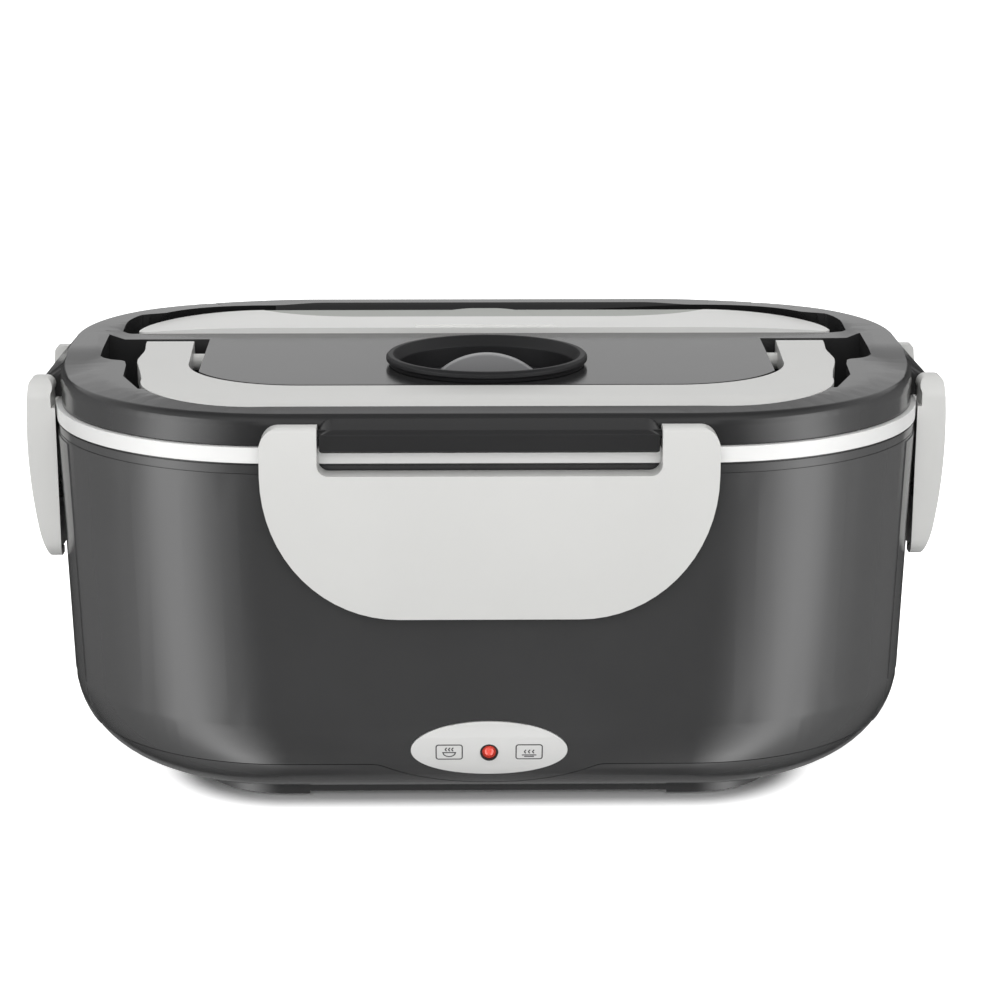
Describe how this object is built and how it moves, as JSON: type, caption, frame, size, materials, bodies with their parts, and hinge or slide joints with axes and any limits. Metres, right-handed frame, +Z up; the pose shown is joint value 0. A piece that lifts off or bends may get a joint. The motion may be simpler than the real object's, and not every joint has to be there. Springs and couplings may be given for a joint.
{
  "type": "electric lunch box",
  "caption": "Rounded electric lunch box with a lift-off latched lid, folding handle, steam valve, cutlery case and lift-out food tray.",
  "frame": {"origin": "centre of the footprint on the table", "axes": "+X right, +Y back, +Z up; the front face looks along -Y"},
  "size_m": [0.2348, 0.1668, 0.1064],
  "materials": {
    "shell_plastic": "glossy dark grey",
    "light_plastic": "satin light grey",
    "badge_plastic": "satin light grey",
    "white_plastic": "smooth white",
    "black_plastic": "black",
    "black_rubber": "black silicone",
    "grey_plastic": "mid grey",
    "seal_silicone": "translucent silicone",
    "cup_lid_plastic": "frosted",
    "steel": "brushed stainless steel",
    "aluminium": "pressed aluminium",
    "brass": "plated brass",
    "heater": "anodised heater block",
    "lamp_red": "red lens",
    "board": "green board"
  },
  "bodies": {
    "base": {"outer_shell": "shell_plastic", "base_cover": "shell_plastic", "rubber_feet": "black_rubber", "base_screws": "steel", "inner_well": "white_plastic", "heating_plate": "aluminium", "heater_block": "heater", "heater_clip": "steel", "heater_screws": "steel", "thermal_cutout": "black_plastic", "power_inlet": "black_plastic", "inlet_pins": "brass", "panel_badge": "badge_plastic", "lamp_ring": "black_plastic", "lamp_lens": "lamp_red", "lamp_board": "board"},
    "tray": {"food_tray": "steel"},
    "cup": {"side_cup": "white_plastic"},
    "cup_cap": {"cup_lid": "cup_lid_plastic", "cup_seal": "seal_silicone"},
    "lid": {"lid_shell": "shell_plastic", "lid_liner": "white_plastic", "lid_seal": "seal_silicone", "liner_screws": "steel", "latch_pins": "steel", "valve_collar": "black_rubber"},
    "valve": {"valve_plug": "black_rubber", "valve_grip": "grey_plastic", "valve_washer": "seal_silicone"},
    "carry_handle": {"handle": "light_plastic"},
    "front_latch": {"latch_front": "light_plastic"},
    "rear_latch": {"latch_rear": "light_plastic"},
    "left_latch": {"latch_left": "light_plastic"},
    "right_latch": {"latch_right": "light_plastic"},
    "case": {"case_tray": "light_plastic"},
    "cutlery": {"spoon": "steel", "fork": "steel"},
    "cover": {"case_cover": "light_plastic"}
  },
  "joints": [
    {"name": "tray_lift", "type": "slide", "parent": "base", "child": "tray", "axis": [0, 0, 1], "range_m": [0, 0.075]},
    {"name": "cup_lift", "type": "slide", "parent": "tray", "child": "cup", "axis": [0, 0, 1], "range_m": [0, 0.06]},
    {"name": "cup_lid_lift", "type": "slide", "parent": "cup", "child": "cup_cap", "axis": [0, 0, 1], "range_m": [0, 0.03]},
    {"name": "lid_lift", "type": "slide", "parent": "cup_cap", "child": "lid", "axis": [0, 0, 1], "range_m": [0, 0.07]},
    {"name": "front_latch_hinge", "type": "hinge", "parent": "lid", "child": "front_latch", "pos_m": [0, -0.0789, 0.0988], "axis": [-1, 0, 0], "range_deg": [-1.4, 110]},
    {"name": "rear_latch_hinge", "type": "hinge", "parent": "lid", "child": "rear_latch", "pos_m": [0, 0.0789, 0.0988], "axis": [1, 0, 0], "range_deg": [-1.4, 110]},
    {"name": "left_latch_hinge", "type": "hinge", "parent": "lid", "child": "left_latch", "pos_m": [-0.1129, 0, 0.0988], "axis": [0, 1, 0], "range_deg": [-1.4, 110]},
    {"name": "right_latch_hinge", "type": "hinge", "parent": "lid", "child": "right_latch", "pos_m": [0.1129, 0, 0.0988], "axis": [0, -1, 0], "range_deg": [-1.4, 110]},
    {"name": "handle_hinge", "type": "hinge", "parent": "lid", "child": "carry_handle", "pos_m": [0, 0.006, 0.0992], "axis": [-1, 0, 0], "range_deg": [0, 90]},
    {"name": "valve_pull", "type": "slide", "parent": "lid", "child": "valve", "axis": [0, 0, 1], "range_m": [0, 0.012]},
    {"name": "case_lift", "type": "slide", "parent": "lid", "child": "case", "axis": [0, 0, 1], "range_m": [0, 0.03]},
    {"name": "cutlery_lift", "type": "slide", "parent": "case", "child": "cutlery", "axis": [0, 0, 1], "range_m": [0, 0.025]},
    {"name": "cover_lift", "type": "slide", "parent": "cutlery", "child": "cover", "axis": [0, 0, 1], "range_m": [0, 0.025]}
  ]
}
